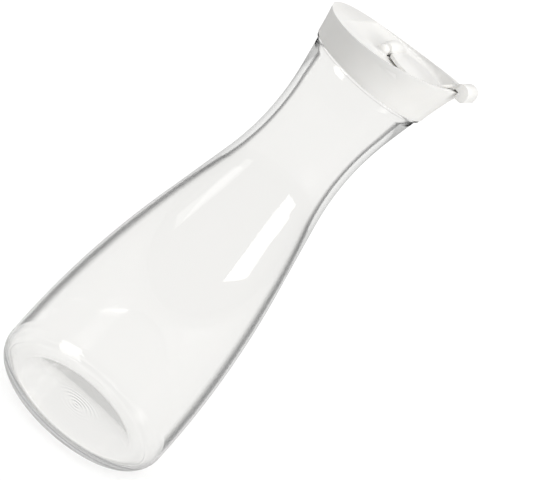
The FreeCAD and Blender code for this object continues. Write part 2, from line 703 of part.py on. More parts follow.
def flap_plan(body):
    """Draw the flap from above: round disc, waisted tab and wider hook, even on both sides."""
    disc = (size("disc_place"), 0)
    radius, fillet = size("disc_radius"), size("neck_fillet")
    tab, hook = size("tab_half_width"), size("hook_half_width")
    start, inner = size("disc_start"), size("hinge_place")
    shoulder = size("barrel_half_length") - size("slot_gap")
    disc_turn = math.degrees(math.acos((start - disc[0]) / radius))
    start_half = radius * math.sin(math.radians(disc_turn))
    fillet_up = tab + fillet
    fillet_across = disc[0] + math.sqrt((radius + fillet) ** 2 - fillet_up ** 2)
    fillet_turn = math.degrees(math.atan2(fillet_up, fillet_across - disc[0]))
    wing = size("hook_start")
    reach = size("hook_reach") + OVERLAP

    line = Outline(body, "flap_plan", "XY_Plane")
    near_tab = (fillet_across, -fillet_up)
    far_tab = (fillet_across, fillet_up)
    near_shoulder = line.line((inner, -shoulder), (start, -shoulder))
    near_step = line.line((start, -shoulder), (start, -start_half))
    near_disc = line.arc(disc, radius, -disc_turn, -fillet_turn)
    near_fillet = line.arc(near_tab, fillet, 180 - fillet_turn, 90, smooth=True)
    near_edge = line.line((fillet_across, -tab), (wing, -tab), smooth=True)
    near_wing = line.line((wing, -tab), (wing, -hook))
    near_end = line.line((wing, -hook), (reach, -hook))
    front = line.line((reach, -hook), (reach, hook))
    far_end = line.line((reach, hook), (wing, hook))
    far_wing = line.line((wing, hook), (wing, tab))
    far_edge = line.line((wing, tab), (fillet_across, tab))
    far_fillet = line.arc(far_tab, fillet, -90, -180 + fillet_turn, smooth=True)
    far_disc = line.arc(disc, radius, fillet_turn, disc_turn, smooth=True)
    far_step = line.line((start, start_half), (start, shoulder))
    far_shoulder = line.line((start, shoulder), (inner, shoulder))
    back = line.line((inner, shoulder), (inner, -shoulder))
    line.close()
    line.level(near_shoulder, near_edge, near_end, far_end, far_edge, far_shoulder)
    line.upright(near_step, near_wing, front, far_wing, far_step, back)
    line.place(near_shoulder, 2, "disc_start", "- ( barrel_half_length - slot_gap )")
    line.place(far_shoulder, 1, "disc_start", "barrel_half_length - slot_gap")
    line.bind("DistanceX", "hinge_place", back, 1)
    for disc_arc, fillet_arc in ((near_disc, near_fillet), (far_disc, far_fillet)):
        line.bind("Radius", "disc_radius", disc_arc)
        line.place(disc_arc, 3, "disc_place", NOTHING)
        line.bind("Radius", "neck_fillet", fillet_arc)
    line.place(near_wing, 1, "hook_start", "- tab_half_width")
    line.place(far_wing, 2, "hook_start", "tab_half_width")
    line.bind("DistanceY", "- hook_half_width", near_end, 2)
    line.bind("DistanceY", "hook_half_width", far_end, 1)
    line.bind("DistanceX", f"hook_reach + {OVERLAP}", front, 1)
    return line


def make_flap():
    """Cut the flap's side view to its plan, hollow the hook round the rim, add the hinge."""
    side = new_body("flap_side_body")
    extrude(side, "Pad", flap_side(side), "flap_side_pad", "3 * disc_radius", symmetric=True)
    plan = new_body("flap_plan_body")
    extrude(plan, "Pad", flap_plan(plan), "flap_plan_pad", "hook_dome_radius * 6")
    move(plan, z="flap_height - flap_thickness")
    blank = combine("Common", "flap_blank", side, plan)
    rim_room = primitive("Cylinder", "rim_room", Radius="hook_inner_radius",
                         Height="hook_room_height - flap_height - flap_thickness")
    move(rim_room, z="flap_height + flap_thickness")
    beyond_tab = primitive("Box", "beyond_tab", Length="hook_reach", Width="4 * hook_half_width",
                           Height="hook_reach")
    move(beyond_tab, x="hook_start", y="-2 * hook_half_width", z="flap_height")
    hook_room = combine("Common", "hook_room", rim_room, beyond_tab)
    hooked = combine("Cut", "flap_hooked", blank, hook_room)
    with_barrel = combine("Fuse", "flap_barrel", hooked, make_barrel("barrel", NOTHING, NOTHING))
    pin = primitive("Cylinder", "hinge_pin", Radius="pin_radius")
    along_hinge(pin, "barrel_half_length + pin_length")
    return combine("Fuse", "flap", with_barrel, pin)


def make_stopper():
    """Make the stopper: a flange under the flap, a tapered lens and a cup in its foot."""
    body = new_body("stopper")
    flange = lens_outline(body, "flange_outline", "flange_reach")
    extrude(body, "Pad", flange, "flange", "flange_thickness")
    doc.recompute()
    root = lens_outline(body, "root_outline", "- stopper_gap")
    tip = lens_outline(body, "tip_outline", "- stopper_gap - stopper_draft")
    tip.sketch.setExpression("AttachmentOffset.Base.z", cell("flange_thickness - stopper_depth"))
    taper = body.newObject("PartDesign::AdditiveLoft", "taper")
    taper.Profile = root.sketch
    taper.Sections = [tip.sketch]
    taper.Ruled = True
    doc.recompute()
    cup = lens_outline(body, "cup_outline", "- stopper_gap - stopper_draft - cup_wall")
    cup.sketch.setExpression("AttachmentOffset.Base.z", cell("flange_thickness - stopper_depth"))
    hollow = extrude(body, "Pocket", cup, "cup", "cup_depth")
    hollow.Reversed = True
    move(body, z="flap_height - flange_thickness")
    doc.recompute()
    return body


def check_and_export(nodes):
    """Stop on any failed object or unsound piece, then write one file for each sub-part."""
    doc.recompute()
    for item in doc.Objects:
        if "Invalid" in item.State or "Error" in item.State:
            raise RuntimeError(f"{item.Name} failed: {item.State}")
    for node in nodes:
        shape = node.Shape
        if shape.isNull() or not shape.isValid() or len(shape.Solids) != 1:
            raise RuntimeError(f"{node.Label} isn't one sound solid")
    os.makedirs("parts", exist_ok=True)
    for node in nodes:
        node.Shape.exportStep(f"parts/{node.Label}.step")
        box = node.Shape.optimalBoundingBox()
        low = [round(number, 2) for number in (box.XMin, box.YMin, box.ZMin)]
        high = [round(number, 2) for number in (box.XMax, box.YMax, box.ZMax)]
        print(f"{node.Label}: {node.Shape.Volume / 1000:.1f} cm3, {low} to {high}")


check_and_export([make_bottle(), make_lid(), make_flap(), make_stopper()])
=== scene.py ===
"""Looks of the clear pitcher with its white lid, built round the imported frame.

Lengths are metres in the frame's own axes: +Z up, the spout towards +X, the hinge along Y.
"""
import logging
import math
from dataclasses import dataclass
from enum import Enum

import bmesh
import bpy
from mathutils import Matrix, Vector

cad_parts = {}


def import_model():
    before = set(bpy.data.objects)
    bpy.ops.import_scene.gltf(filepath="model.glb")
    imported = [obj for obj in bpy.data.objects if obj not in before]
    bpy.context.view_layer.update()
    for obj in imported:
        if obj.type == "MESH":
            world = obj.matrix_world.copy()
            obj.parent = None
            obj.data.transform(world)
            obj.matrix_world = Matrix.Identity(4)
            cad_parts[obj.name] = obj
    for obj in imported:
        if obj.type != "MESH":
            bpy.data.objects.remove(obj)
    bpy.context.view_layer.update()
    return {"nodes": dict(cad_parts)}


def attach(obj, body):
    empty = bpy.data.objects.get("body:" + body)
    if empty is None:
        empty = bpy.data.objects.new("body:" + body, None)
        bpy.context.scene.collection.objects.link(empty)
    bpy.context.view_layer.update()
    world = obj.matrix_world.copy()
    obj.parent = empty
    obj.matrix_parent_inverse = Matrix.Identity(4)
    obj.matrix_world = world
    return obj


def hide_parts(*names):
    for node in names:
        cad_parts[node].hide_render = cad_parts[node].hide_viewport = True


LOG = logging.getLogger("pitcher")
MM = 0.001
GLOW_REACH = (1.0, 0.95, 0.85)
JOIN_DISTANCE = 0.002 * MM
TURNED_MERGE = 0.001 * MM
STRIP_MERGE = 0.0001 * MM
Point = tuple[float, float]
Place = tuple[float, float, float]
Colour = tuple[float, float, float]


class Body(Enum):
    """The moving bodies of the frame."""

    PITCHER = "pitcher"
    FLAP = "flap"


class Slot(Enum):
    """The material slots of the record."""

    CLEAR_WALL = "clear_wall"
    WHITE_LID = "white_lid"
    WHITE_FLAP = "white_flap"
    SOFT_STOPPER = "soft_stopper"


# ---------------------------------------------------------------- materials


class NodeTree:
    """A small helper that adds and links nodes of one tree."""

    def __init__(self, tree: bpy.types.NodeTree) -> None:
        """Keep the tree.

        Args:
            tree: the shader or geometry tree to fill.
        """
        self.tree = tree

    def add(self, kind: str, **settings: object) -> bpy.types.Node:
        """Add a node and set its plain properties.

        Args:
            kind: the node's type name.
            settings: properties of the node, by name.

        Returns:
            The new node.
        """
        node = self.tree.nodes.new(kind)
        for name, value in settings.items():
            setattr(node, name, value)
        return node

    def link(self, source: bpy.types.NodeSocket, target: bpy.types.NodeSocket) -> None:
        """Link an output to an input."""
        self.tree.links.new(source, target)

    def blend(self, factor: bpy.types.NodeSocket, first: bpy.types.NodeSocket,
              second: bpy.types.NodeSocket) -> bpy.types.NodeSocket:
        """Mix two shaders.

        Args:
            factor: the second shader's share.
            first: the first shader.
            second: the second shader.

        Returns:
            The mixed shader.
        """
        mix = self.add("ShaderNodeMixShader")
        self.link(factor, mix.inputs["Fac"])
        self.link(first, mix.inputs[1])
        self.link(second, mix.inputs[2])
        return mix.outputs["Shader"]


def preset(node: bpy.types.Node, values: dict[str, float | Colour]) -> None:
    """Set a node's unlinked inputs.

    Args:
        node: the node.
        values: numbers, or colours without alpha, by the input's name.
    """
    for name, value in values.items():
        node.inputs[name].default_value = (*value, 1.0) if isinstance(value, tuple) else value


@dataclass(frozen=True)
class Relief:
    """Fine unevenness of a moulded surface, as two sizes of noise."""

    grain_scale: float
    grain_strength: float
    grain_height: float
    wave_scale: float
    grain_detail: float = 3.0
    wave_detail: float = 2.0
    wave_low: float = 0.3
    wave_high: float = 0.7

    def bump(self, nodes: NodeTree, place: bpy.types.NodeSocket) -> bpy.types.NodeSocket:
        """Make the bump from the grain's noise.

        Args:
            nodes: the material's tree.
            place: the coordinates to read.

        Returns:
            The normal output.
        """
        grain = nodes.add("ShaderNodeTexNoise")
        preset(grain, {"Scale": self.grain_scale, "Detail": self.grain_detail})
        nodes.link(place, grain.inputs["Vector"])
        bump = nodes.add("ShaderNodeBump")
        preset(bump, {"Strength": self.grain_strength, "Distance": self.grain_height})
        nodes.link(grain.outputs["Fac"], bump.inputs["Height"])
        return bump.outputs["Normal"]

    def spread(self, nodes: NodeTree, place: bpy.types.NodeSocket, low: float,
               high: float) -> bpy.types.NodeSocket:
        """Make a slow variation between two values.

        Args:
            nodes: the material's tree.
            place: the coordinates to read.
            low: the value in the troughs.
            high: the value on the crests.

        Returns:
            The value output.
        """
        wave = nodes.add("ShaderNodeTexNoise")
        preset(wave, {"Scale": self.wave_scale, "Detail": self.wave_detail})
        nodes.link(place, wave.inputs["Vector"])
        span = nodes.add("ShaderNodeMapRange")
        preset(span, {"From Min": self.wave_low, "From Max": self.wave_high,
                      "To Min": low, "To Max": high})
        nodes.link(wave.outputs["Fac"], span.inputs["Value"])
        return span.outputs["Result"]

    def dress(self, nodes: NodeTree, shader: bpy.types.Node, place: bpy.types.NodeSocket,
              tones: tuple[Colour, Colour], rough: Point) -> None:
        """Give a shader a slowly varying colour and roughness, and the grain.

        Args:
            nodes: the material's tree.
            shader: the Principled node.
            place: the coordinates to read.
            tones: the colour in the troughs and on the crests.
            rough: the roughness in the troughs and on the crests.
        """
        mix = nodes.add("ShaderNodeMix", data_type="RGBA")
        mix.inputs["A"].default_value = (*tones[0], 1.0)
        mix.inputs["B"].default_value = (*tones[1], 1.0)
        nodes.link(self.spread(nodes, place, 0.0, 1.0), mix.inputs["Factor"])
        nodes.link(mix.outputs["Result"], shader.inputs["Base Color"])
        nodes.link(self.spread(nodes, place, *rough), shader.inputs["Roughness"])
        nodes.link(self.bump(nodes, place), shader.inputs["Normal"])


def start_material(name: str) -> tuple[bpy.types.Material, NodeTree, bpy.types.Node,
                                       bpy.types.NodeSocket]:
    """Start a material with its shader and the object's coordinates.

    Args:
        name: the material's name.

    Returns:
        The material, its tree helper, its Principled node and the coordinates.
    """
    material = bpy.data.materials.new(name)
    material.use_nodes = True
    nodes = NodeTree(material.node_tree)
    shader = material.node_tree.nodes["Principled BSDF"]
    place = nodes.add("ShaderNodeTexCoord").outputs["Object"]
    return material, nodes, shader, place


@dataclass(frozen=True)
class ClearPlastic:
    """Clear polished plastic whose wall mirrors a little and bends what lies behind it."""

    tint: Colour = (0.992, 0.989, 0.979)
    ior: float = 1.5
    rough: Point = (0.0, 0.03)
    lamp_share: Colour = (0.98, 0.98, 0.98)
    # painted shade: a near-black see-through layer is mixed in where the wall is seen edge-on, in place
    # of the dark surroundings such a wall shows; below are its tint, the facing where it starts and
    # ends, and its largest share
    painted_shade_tint: Colour = (0.05, 0.05, 0.05)
    painted_shade_start: float = 0.57
    painted_shade_end: float = 0.8
    painted_shade_share: float = 0.1
    most_bounces: float = 4.5
    relief: Relief = Relief(45.0, 0.05, 0.0004, 30.0)

    def make(self, name: str) -> bpy.types.Material:
        """Make the material.

        Args:
            name: the material's name.

        Returns:
            The material.
        """
        material, nodes, shader, place = start_material(name)
        preset(shader, {"Base Color": self.tint, "IOR": self.ior, "Transmission Weight": 1.0})
        nodes.link(self.relief.spread(nodes, place, *self.rough), shader.inputs["Roughness"])
        nodes.link(self.relief.bump(nodes, place), shader.inputs["Normal"])
        pane = nodes.add("ShaderNodeBsdfTransparent")
        preset(pane, {"Color": self.lamp_share})
        ray = nodes.add("ShaderNodeLightPath")
        caught = nodes.add("ShaderNodeMath", operation="GREATER_THAN")
        nodes.link(ray.outputs["Ray Depth"], caught.inputs[0])
        caught.inputs[1].default_value = self.most_bounces
        freed = nodes.add("ShaderNodeMath", operation="MAXIMUM")
        nodes.link(caught.outputs["Value"], freed.inputs[0])
        nodes.link(ray.outputs["Is Shadow Ray"], freed.inputs[1])
        surface = nodes.blend(freed.outputs["Value"], self.paint_edge_shade(nodes, shader), pane.outputs["BSDF"])
        nodes.link(surface, material.node_tree.nodes["Material Output"].inputs["Surface"])
        return material

    def paint_edge_shade(self, nodes: NodeTree, shader: bpy.types.Node) -> bpy.types.NodeSocket:
        """Paint shade on the shader where the wall is seen edge-on, in place of the dark surroundings
        such a wall would show.

        Args:
            nodes: the material's tree.
            shader: the glass shader.

        Returns:
            The shader output.
        """
        facing = nodes.add("ShaderNodeLayerWeight")
        edge = nodes.add("ShaderNodeMapRange", interpolation_type="SMOOTHSTEP")
        preset(edge, {"From Min": self.painted_shade_start, "From Max": self.painted_shade_end, "To Max": self.painted_shade_share})
        nodes.link(facing.outputs["Facing"], edge.inputs["Value"])
        # the painted shade: a near-black see-through layer
        rim = nodes.add("ShaderNodeBsdfTransparent")
        preset(rim, {"Color": self.painted_shade_tint})
        return nodes.blend(edge.outputs["Result"], shader.outputs["BSDF"], rim.outputs["BSDF"])


@dataclass(frozen=True)
class WhitePlastic:
    """White moulded plastic with a satin skin that lets a little light in."""

    tones: tuple[Colour, Colour] = ((0.835, 0.826, 0.803), (0.862, 0.854, 0.833))
    rough: Point = (0.42, 0.52)
    glow: float = 0.12
    glow_depth: float = 1.2 * MM
    relief: Relief = Relief(1900.0, 0.12, 0.00006, 70.0)

    def make(self, name: str) -> bpy.types.Material:
        """Make the material.

        Args:
            name: the material's name.

        Returns:
            The material.
        """
        material, nodes, shader, place = start_material(name)
        self.relief.dress(nodes, shader, place, self.tones, self.rough)
        shader.inputs["Subsurface Radius"].default_value = GLOW_REACH
        preset(shader, {"Subsurface Weight": self.glow, "Subsurface Scale": self.glow_depth})
        return material


@dataclass(frozen=True)
class SoftRubber:
    """Milky soft rubber that light passes through."""

    tones: tuple[Colour, Colour] = ((0.80, 0.785, 0.73), (0.86, 0.85, 0.80))
    rough: Point = (0.3, 0.45)
    ior: float = 1.41
    clearness: float = 0.25
    glow: float = 0.7
    glow_depth: float = 3.0 * MM
    relief: Relief = Relief(900.0, 0.1, 0.00008, 160.0)

    def make(self, name: str) -> bpy.types.Material:
        """Make the material.

        Args:
            name: the material's name.

        Returns:
            The material.
        """
        material, nodes, shader, place = start_material(name)
        self.relief.dress(nodes, shader, place, self.tones, self.rough)
        shader.inputs["Subsurface Radius"].default_value = GLOW_REACH
        preset(shader, {"IOR": self.ior, "Transmission Weight": self.clearness,
                        "Subsurface Weight": self.glow, "Subsurface Scale": self.glow_depth})
        return material


# ---------------------------------------------------------------- mesh helpers


def link_mesh(name: str, mesh: bpy.types.Mesh) -> bpy.types.Object:
    """Put a mesh in the scene as an object at the origin.

    Args:
        name: the object's name.
        mesh: its mesh.

    Returns:
        The object.
    """
    item = bpy.data.objects.new(name, mesh)
    bpy.context.scene.collection.objects.link(item)
    return item


def bake_modifiers(item: bpy.types.Object, name: str) -> bpy.types.Mesh:
    """Turn an object with modifiers into a plain mesh and remove the object.

    Args:
        item: the object, whose modifiers are evaluated.
        name: the new mesh's name.

    Returns:
        The plain mesh.
    """
    graph = bpy.context.evaluated_depsgraph_get()
    mesh = bpy.data.meshes.new_from_object(item.evaluated_get(graph), depsgraph=graph)
    mesh.name = name
    bpy.data.objects.remove(item)
    return mesh


def face_outwards(mesh: bpy.types.Mesh, merge: float) -> None:
    """Merge double points, close the seams and turn every face outwards.

    Args:
        mesh: the mesh to mend.
        merge: how near two points are joined.
    """
    bm = bmesh.new()
    bm.from_mesh(mesh)
    bmesh.ops.remove_doubles(bm, verts=bm.verts, dist=merge)
    bmesh.ops.recalc_face_normals(bm, faces=bm.faces)
    bm.to_mesh(mesh)
    bm.free()


def closed_strip(name: str, sections: list[list[Place]]) -> bpy.types.Mesh:
    """Skin closed outlines one after another and cap both ends.

    Args:
        name: the mesh's name.
        sections: the outlines, all with as many points.

    Returns:
        The closed mesh, faces outwards.
    """
    count = len(sections[0])
    faces = []
    for first in range(0, (len(sections) - 1) * count, count):
        for place in range(count):
            after = (place + 1) % count
            faces.append((first + place, first + after, first + count + after, first + count + place))
    last = (len(sections) - 1) * count
    faces += [tuple(range(count)), tuple(range(last + count - 1, last - 1, -1))]
    mesh = bpy.data.meshes.new(name)
    mesh.from_pydata([point for outline in sections for point in outline], [], faces)
    face_outwards(mesh, STRIP_MERGE)
    return mesh


def add_shell(mesh: bpy.types.Mesh, shell: bpy.types.Mesh) -> None:
    """Add another closed shell's faces to a mesh.

    Args:
        mesh: the mesh that gains them.
        shell: the shell to add, which is removed.
    """
    bm = bmesh.new()
    bm.from_mesh(mesh)
    bm.from_mesh(shell)
    for face in bm.faces:
        face.material_index = 0
    bm.to_mesh(mesh)
    bm.free()
    bpy.data.meshes.remove(shell)


def shade(mesh: bpy.types.Mesh, edge_degrees: float) -> None:
    """Shade a mesh smoothly, apart from edges sharper than an angle.

    Args:
        mesh: the mesh.
        edge_degrees: the angle from which an edge stays crisp.
    """
    mesh.shade_smooth()
    mesh.set_sharp_from_angle(angle=math.radians(edge_degrees))


def arc_points(centre: Point, radius: float, start: float, end: float, steps: int) -> list[Point]:
    """Points on an arc, both ends included.

    Args:
        centre: the arc's centre.
        radius: its radius.
        start: the first point's angle in degrees.
        end: the last point's angle in degrees.
        steps: how many pieces it is cut into.

    Returns:
        The points in order.
    """
    points = []
    for step in range(steps + 1):
        angle = math.radians(start + (end - start) * step / steps)
        points.append((centre[0] + radius * math.cos(angle), centre[1] + radius * math.sin(angle)))
    return points


class Lathe:
    """A Geometry Nodes tree that turns an outline about the upright axis."""

    def __init__(self, name: str) -> None:
        """Build the tree.

        Args:
            name: the tree's name.
        """
        self.tree = bpy.data.node_groups.new(name, "GeometryNodeTree")
        face = self.tree.interface
        face.new_socket("Outline", in_out="INPUT", socket_type="NodeSocketGeometry")
        self.inputs = {}
        for label, kind in (("Points", "NodeSocketInt"), ("Segments", "NodeSocketInt"),
                            ("Join Distance", "NodeSocketFloat"),
                            ("Finish", "NodeSocketMaterial")):
            self.inputs[label] = face.new_socket(label, in_out="INPUT", socket_type=kind).identifier
        face.new_socket("Solid", in_out="OUTPUT", socket_type="NodeSocketGeometry")
        self.fill()

    def fill(self) -> None:
        """Add the nodes: a grid whose columns are laid round the axis."""
        nodes = NodeTree(self.tree)
        given = nodes.add("NodeGroupInput")
        result = nodes.add("NodeGroupOutput")
        columns = self.maths(nodes, "ADD", given.outputs["Segments"], 1.0)
        grid = nodes.add("GeometryNodeMeshGrid")
        nodes.link(columns, grid.inputs["Vertices X"])
        nodes.link(given.outputs["Points"], grid.inputs["Vertices Y"])
        index = nodes.add("GeometryNodeInputIndex").outputs["Index"]
        ratio = self.maths(nodes, "DIVIDE", index, given.outputs["Points"])
        column = self.maths(nodes, "FLOOR", self.maths(nodes, "ADD", ratio, 0.0001))
        row = self.maths(nodes, "MODULO", index, given.outputs["Points"])
        share = self.maths(nodes, "DIVIDE", column, given.outputs["Segments"])
        angle = self.maths(nodes, "MULTIPLY", share, 2 * math.pi)
        sample = nodes.add("GeometryNodeSampleIndex", data_type="FLOAT_VECTOR", domain="POINT")
        nodes.link(given.outputs["Outline"], sample.inputs["Geometry"])
        place = nodes.add("GeometryNodeInputPosition").outputs["Position"]
        nodes.link(place, sample.inputs["Value"])
        nodes.link(row, sample.inputs["Index"])
        split = nodes.add("ShaderNodeSeparateXYZ")
        nodes.link(sample.outputs["Value"], split.inputs["Vector"])
        join = nodes.add("ShaderNodeCombineXYZ")
        for axis, kind in (("X", "COSINE"), ("Y", "SINE")):
            turned = self.maths(nodes, kind, angle)
            nodes.link(self.maths(nodes, "MULTIPLY", turned, split.outputs["X"]), join.inputs[axis])
        nodes.link(split.outputs["Z"], join.inputs["Z"])
        move = nodes.add("GeometryNodeSetPosition")
        nodes.link(grid.outputs["Mesh"], move.inputs["Geometry"])
        nodes.link(join.outputs["Vector"], move.inputs["Position"])
        merge = nodes.add("GeometryNodeMergeByDistance")
        nodes.link(move.outputs["Geometry"], merge.inputs["Geometry"])
        nodes.link(given.outputs["Join Distance"], merge.inputs["Distance"])
        real = nodes.add("GeometryNodeRealizeInstances")
        nodes.link(merge.outputs["Geometry"], real.inputs["Geometry"])
        finish = nodes.add("GeometryNodeSetMaterial")
        nodes.link(real.outputs["Geometry"], finish.inputs["Geometry"])
        nodes.link(given.outputs["Finish"], finish.inputs["Material"])
        nodes.link(finish.outputs["Geometry"], result.inputs["Solid"])

    @staticmethod
    def maths(nodes: NodeTree, kind: str, first: bpy.types.NodeSocket,
              second: bpy.types.NodeSocket | float | None = None) -> bpy.types.NodeSocket:
        """Add one math node.

        Args:
            nodes: the tree helper.
            kind: the operation.
            first: the first operand.
            second: the second operand, a socket or a number.

        Returns:
            The result's socket.
        """
        node = nodes.add("ShaderNodeMath", operation=kind)
        nodes.link(first, node.inputs[0])
        if isinstance(second, bpy.types.NodeSocket):
            nodes.link(second, node.inputs[1])
        elif second is not None:
            node.inputs[1].default_value = second
        return node.outputs["Value"]

    def turn(self, name: str, outline: list[Point], segments: int,
             finish: bpy.types.Material) -> bpy.types.Mesh:
        """Turn an outline into a closed mesh.

        Args:
            name: the mesh's name.
            outline: (radius, height) points from axis to axis.
            segments: how many columns go round.
            finish: the material.

        Returns:
            The plain mesh, faces outwards.
        """
        edges = [(place, place + 1) for place in range(len(outline) - 1)]
        chain = bpy.data.meshes.new(f"{name}_outline")
        chain.from_pydata([(radius, 0.0, height) for radius, height in outline], edges, [])
        item = link_mesh(name, chain)
        modifier = item.modifiers.new("lathe", "NODES")
        modifier.node_group = self.tree
        modifier[self.inputs["Points"]] = len(outline)
        modifier[self.inputs["Segments"]] = segments
        modifier[self.inputs["Join Distance"]] = JOIN_DISTANCE
        modifier[self.inputs["Finish"]] = finish
        mesh = bake_modifiers(item, name)
        face_outwards(mesh, TURNED_MERGE)
        return mesh


# ---------------------------------------------------------------- pieces


@dataclass
class Bottle:
    """The clear bottle: a belly, a straight shoulder, a slim waist and a flared mouth."""

    base_radius: float = 50.0 * MM
    heel_radius: float = 12.0 * MM
    # the hollow's painted edge shade starts this far above the heel
    heel_fade: float = 4.0 * MM
    foot_width: float = 2.5 * MM
    punt_height: float = 2.0 * MM
    shoulder_run: float = 41.4 * MM
    waist_height: float = 191.2 * MM
    waist_radius: float = 25.96 * MM
    neck_radius: float = 144.0 * MM
    flare_rise: float = 26.9 * MM
    collar_radius: float = 32.9 * MM
    collar_top: float = 236.5 * MM
    collar_height: float = 1.5 * MM
    collar_round: float = 0.35 * MM
    # the band under the collar's top that takes the strong painted edge shade
    collar_painted_shade: float = 4.5 * MM
    mouth_radius: float = 31.3 * MM
    mouth_top: float = 247.5 * MM
    bore_radius: float = 29.91 * MM
    body_wall: float = 1.0 * MM
    neck_wall: float = 3.0 * MM
    inner_run: float = 9.4 * MM
    floor_thickness: float = 4.2 * MM
    seam_depth: float = 0.1 * MM
    seam_degrees: float = -50.0
    seam_spread: float = 1.3
    ripple_height: float = 0.05 * MM
    ripple_pitch: float = 3.0 * MM
    ripple_reach: float = 17.0 * MM
    floor_edge: float = 8.0 * MM
    # how far inwards a face must point to take the strong painted edge shade
    inward_share: float = -0.1
    punt_steps: int = 90
    wall_steps: int = 40
    bore_steps: int = 44
    inner_heel_steps: int = 20
    edge_steps: int = 4
    segments: int = 192
    crisp_degrees: float = 50.0
    # both finishes paint shade where the wall is seen edge-on: faint on the outside, strong on the
    # hollow's wall and the collar band
    finish: ClearPlastic = ClearPlastic()
    painted_shade_finish: ClearPlastic = ClearPlastic(painted_shade_share=0.95)

    def shoulder(self, foot: float, waist: float, belly: float,
                 neck: float) -> tuple[Point, Point, float]:
        """Find both arcs' centres and the slope of the straight shoulder between them.

        Args:
            foot: the radius at the top of the heel.
            waist: the radius at the waist.
            belly: the belly arc's radius.
            neck: the neck arc's radius.

        Returns:
            The belly's centre, the neck's centre and the slope in degrees.
        """
        low = (foot - belly, self.heel_radius)
        high = (waist + neck, self.waist_height)
        run, rise = high[0] - low[0], high[1] - low[1]
        slope = math.atan2(rise, run) - math.acos((belly + neck) / math.hypot(run, rise))
        return low, high, math.degrees(slope)

    def belly_radius(self) -> float:
        """Work out the radius of the belly's arc.

        Returns:
            The radius that leaves the straight shoulder its stated run.
        """
        reach = self.waist_radius + self.neck_radius - self.base_radius
        rise = self.waist_height - self.heel_radius
        top = reach ** 2 + rise ** 2 - self.neck_radius ** 2 - self.shoulder_run ** 2
        return top / (2 * (self.base_radius - self.waist_radius))

    def inner_neck_radius(self) -> float:
        """Work out the radius of the neck's inner arc.

        Returns:
            The radius that leaves the inner shoulder its stated run.
        """
        belly = self.belly_radius() - self.body_wall
        waist = self.waist_radius - self.neck_wall
        reach = waist - self.base_radius + self.belly_radius()
        rise = self.waist_height - self.heel_radius
        top = reach ** 2 + rise ** 2 - belly ** 2 - self.inner_run ** 2
        return top / (2 * (self.base_radius - self.body_wall - waist))

    def heel(self, centre: float) -> list[Point]:
        """Outline of the outer heel, with the fine seam of the mould.

        Args:
            centre: the radius at which the heel's centre lies.

        Returns:
            The outline from the foot up to the belly.
        """
        points = []
        for step in range(-90, 1):
            dip = self.seam_depth * math.exp(-((step - self.seam_degrees) / self.seam_spread) ** 2)
            reach, angle = self.heel_radius - dip, math.radians(step)
            points.append((centre + reach * math.cos(angle), self.heel_radius + reach * math.sin(angle)))
        return points

    def rippled(self, points: list[Point]) -> list[Point]:
        """Lay the faint rings of the moulding's centre on the middle of the floor.

        Args:
            points: the plain outline of the floor.

        Returns:
            The outline with rings that fade outwards.
        """
        ringed = []
        for radius, height in points:
            fade = max(0.0, 1 - radius / self.ripple_reach)
            wave = self.ripple_height * fade * math.cos(2 * math.pi * radius / self.ripple_pitch)
            ringed.append((radius, height + wave))
        return ringed

    def outside(self) -> list[Point]:
        """Outline of the outside, from the axis under the foot to the mouth's top.

        Returns:
            (radius, height) points.
        """
        foot_outer = self.base_radius - self.heel_radius
        foot_inner = foot_outer - self.foot_width
        dome = (foot_inner ** 2 + self.punt_height ** 2) / (2 * self.punt_height)
        dome_turn = math.degrees(math.acos(foot_inner / dome))
        crown = arc_points((0.0, self.punt_height - dome), dome, 90, dome_turn, self.punt_steps)
        points = self.rippled(crown)
        points += self.heel(foot_outer)
        belly = self.belly_radius()
        low, high, slope = self.shoulder(self.base_radius, self.waist_radius, belly, self.neck_radius)
        flare = math.degrees(math.asin(self.flare_rise / self.neck_radius))
        points += arc_points(low, belly, 0, slope, self.wall_steps)[1:]
        points += arc_points(high, self.neck_radius, 180 + slope, 180 - flare, self.wall_steps)
        foot = self.collar_top - self.collar_height
        start = points[-1]
        top_radius = start[0] + (foot - start[1]) * math.tan(math.radians(flare))
        for step in range(1, self.edge_steps + 1):
            share = step / self.edge_steps
            points.append((start[0] + (top_radius - start[0]) * share,
                           start[1] + (foot - start[1]) * share))
        edge, steps = self.collar_round, self.edge_steps
        points += arc_points((self.collar_radius - edge, foot + edge), edge, -90, 0, steps)
        points += arc_points((self.collar_radius - edge, self.collar_top - edge), edge, 0, 90, steps)
        points.append((self.mouth_radius, self.collar_top))
        points += arc_points((self.mouth_radius - edge, self.mouth_top - edge), edge, 0, 90, steps)
        return points

    def inside(self) -> list[Point]:
        """Outline of the hollow, from the mouth's top down to the axis.

        Returns:
            (radius, height) points.
        """
        heel = self.heel_radius - self.floor_thickness
        foot = self.base_radius - self.body_wall
        belly, neck = self.belly_radius() - self.body_wall, self.inner_neck_radius()
        low, high, slope = self.shoulder(foot, self.waist_radius - self.neck_wall, belly, neck)
        flare = math.degrees(math.acos((high[0] - self.bore_radius) / neck))
        edge = self.collar_round
        points = [(0.0, self.floor_thickness), (foot - heel - self.floor_edge, self.floor_thickness)]
        points += arc_points((foot - heel, self.heel_radius), heel, -90, 0, self.inner_heel_steps)
        points += arc_points(low, belly, 0, slope, self.wall_steps)[1:]
        points += arc_points(high, neck, 180 + slope, 180 - flare, self.bore_steps)
        points += arc_points((self.bore_radius + edge, self.mouth_top - edge), edge, 180, 90,
                             self.edge_steps)
        return points[::-1]

    def has_painted_shade(self, face: bpy.types.MeshPolygon) -> bool:
        """Tell whether a face takes the strong painted edge shade: the hollow's wall above the heel, and
        the collar band.

        Args:
            face: the face.

        Returns:
            True where the strong painted shade goes.
        """
        height = face.center.z
        at_collar = self.collar_top - self.collar_painted_shade < height < self.collar_top + self.collar_round
        above_heel = height > self.heel_radius + self.heel_fade
        inwards = face.normal.xy.dot(face.center.xy) < self.inward_share * face.center.xy.length
        return (inwards and above_heel) or at_collar

